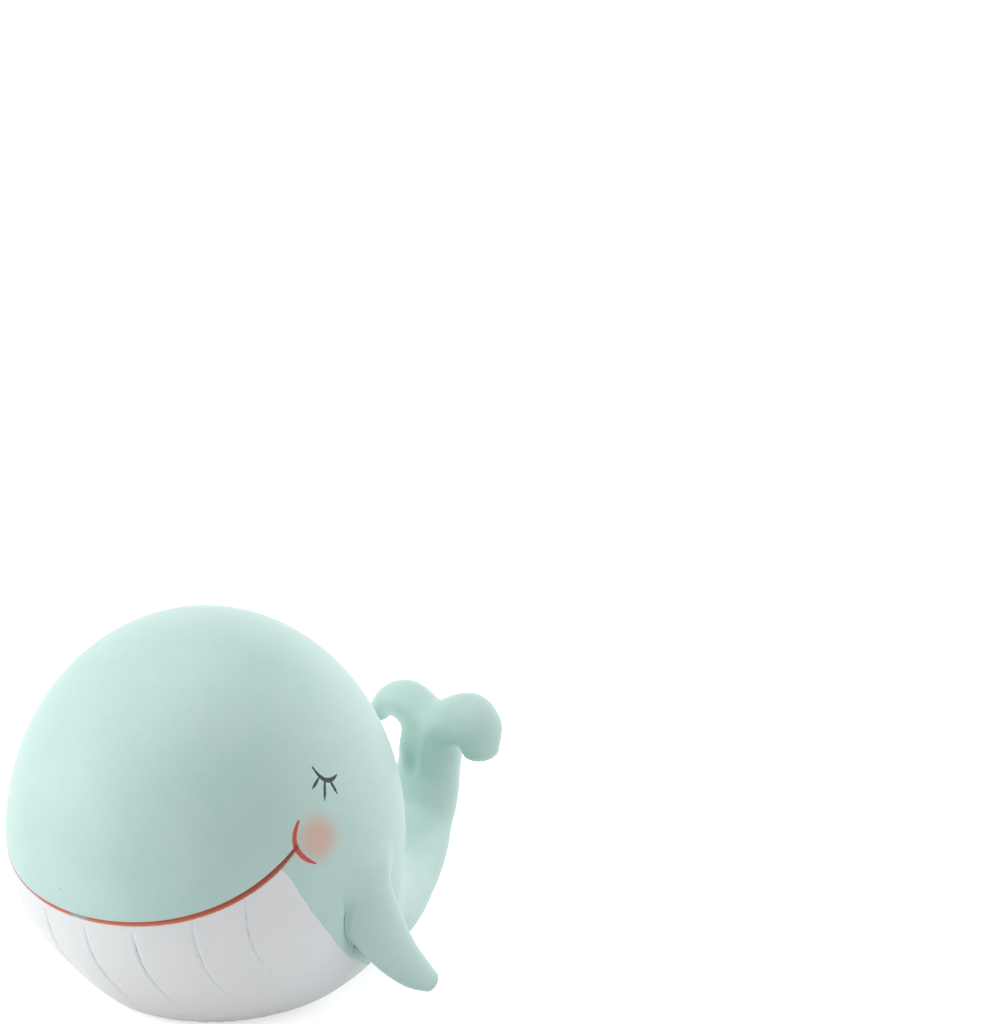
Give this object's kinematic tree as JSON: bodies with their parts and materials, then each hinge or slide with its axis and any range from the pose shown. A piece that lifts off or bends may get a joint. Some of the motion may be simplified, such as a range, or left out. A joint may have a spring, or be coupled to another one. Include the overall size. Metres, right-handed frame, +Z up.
{
  "type": "whale figurine",
  "caption": "Egg-shaped smiling whale figurine in painted cast resin, with a grooved white throat, side fins and an upturned two-lobed tail.",
  "frame": {"origin": "centre of the flat underside, on the table", "axes": "+Z up; the whale faces -Y with its tail towards +Y; +X is the whale's left side"},
  "size_m": [0.1082, 0.1363, 0.0994],
  "materials": {
    "mint_paint": "satin hand-painted resin",
    "white_paint": "satin hand-painted resin",
    "bare_resin": "bare cast resin",
    "felt": "pressed felt",
    "pin_steel": "cut wire"
  },
  "bodies": {
    "root": {"back_casting": "mint_paint", "throat_casting": "white_paint", "tail_stock": "mint_paint", "tail_fluke": "mint_paint", "left_fin": "mint_paint", "right_fin": "mint_paint", "base_plug": "bare_resin", "base_pad": "felt", "tail_pin": "pin_steel", "fluke_pin": "pin_steel", "left_fin_pin": "pin_steel", "right_fin_pin": "pin_steel"}
  },
  "joints": []
}
